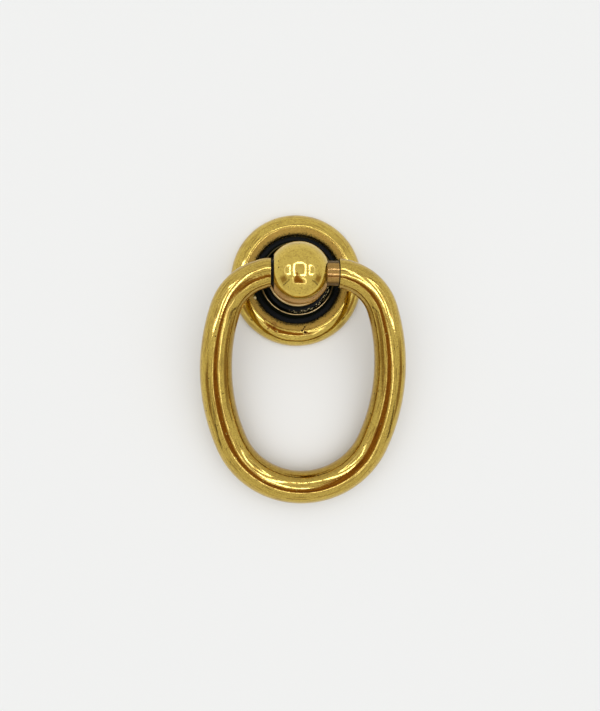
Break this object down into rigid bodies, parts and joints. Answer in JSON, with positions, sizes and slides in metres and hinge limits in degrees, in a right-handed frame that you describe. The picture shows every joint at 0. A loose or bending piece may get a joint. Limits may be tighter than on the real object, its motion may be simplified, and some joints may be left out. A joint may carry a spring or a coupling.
{
  "type": "ring pull handle",
  "caption": "Small aged brass ring pull: a round rosette with a blackened sunk middle, a ball-headed post, and an oval ring that swings on tenons held in the ball.",
  "frame": {"origin": "centre of the rosette's flat back face, at the mouth of the screw hole", "axes": "+Z out of the drawer front, +Y up on the drawer front, +X along the ring's pivot; the ring hangs towards -Y"},
  "size_m": [0.0386, 0.0565, 0.0172],
  "materials": {
    "aged_brass": "cast brass, polished and aged, with a black patina in the sunk middle"
  },
  "bodies": {
    "base": {"rosette": "aged_brass", "ball_post": "aged_brass"},
    "bail": {"ring": "aged_brass"}
  },
  "joints": [
    {"name": "ring_swing", "type": "hinge", "parent": "base", "child": "bail", "pos_m": [0, 0, 0.0115], "axis": [-1, 0, 0], "range_deg": [0, 203]}
  ]
}
